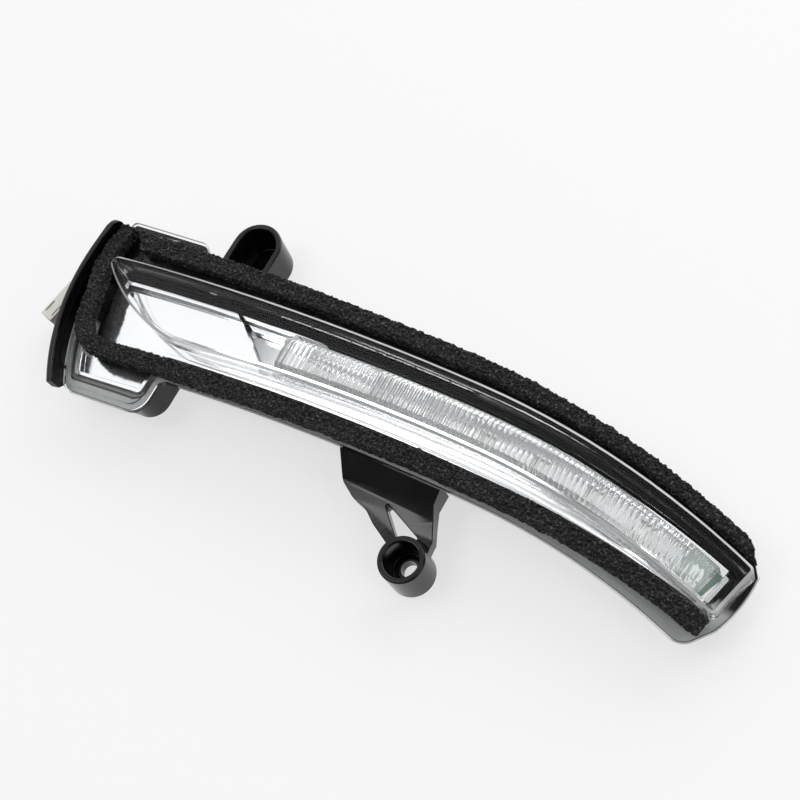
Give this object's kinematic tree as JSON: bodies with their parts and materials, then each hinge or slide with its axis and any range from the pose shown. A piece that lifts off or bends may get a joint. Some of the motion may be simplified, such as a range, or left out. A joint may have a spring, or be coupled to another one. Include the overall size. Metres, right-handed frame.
{
  "type": "mirror turn signal lamp",
  "caption": "Long crowned side turn signal lamp for an exterior mirror: clear raised lens over a ribbed light bar, foam seals, black housing with screw bracket and locating cup.",
  "frame": {"origin": "middle of the bounding box, on the plane of the back that the lamp lies on", "axes": "+X along the lamp from the wide inboard block to the slim outboard end, +Y across it towards the locating cup, +Z out of the clear lens"},
  "size_m": [0.2208, 0.0762, 0.0235],
  "materials": {
    "housing_black": "gloss black moulded plastic",
    "clear_lens": "polished clear plastic",
    "foam": "open-cell black foam strip",
    "metallised": "vacuum-metallised silver",
    "ribbed_clear": "ribbed clear plastic",
    "board_green": "green solder mask",
    "led_body": "white package with yellow window",
    "component_black": "black moulded package",
    "component_metal": "bright can",
    "connector_white": "natural white moulded plastic",
    "contact": "tinned contact",
    "screw_steel": "zinc plated",
    "vent_grey": "porous grey membrane"
  },
  "bodies": {
    "root": {"housing": "housing_black", "outer_lens": "clear_lens", "gasket_upper": "foam", "gasket_lower": "foam", "reflector": "metallised", "inner_lens": "ribbed_clear", "circuit_board": "board_green", "diode": "component_black", "capacitor": "component_metal", "connector_shell": "connector_white", "terminal_inner": "contact", "terminal_outer": "contact", "board_screw": "screw_steel", "vent_membrane": "vent_grey", "led_1": "led_body", "led_2": "led_body", "led_3": "led_body", "led_4": "led_body", "led_5": "led_body", "led_6": "led_body", "led_7": "led_body", "led_8": "led_body", "resistor_1": "component_black", "resistor_2": "component_black", "resistor_3": "component_black", "resistor_4": "component_black"}
  },
  "joints": []
}
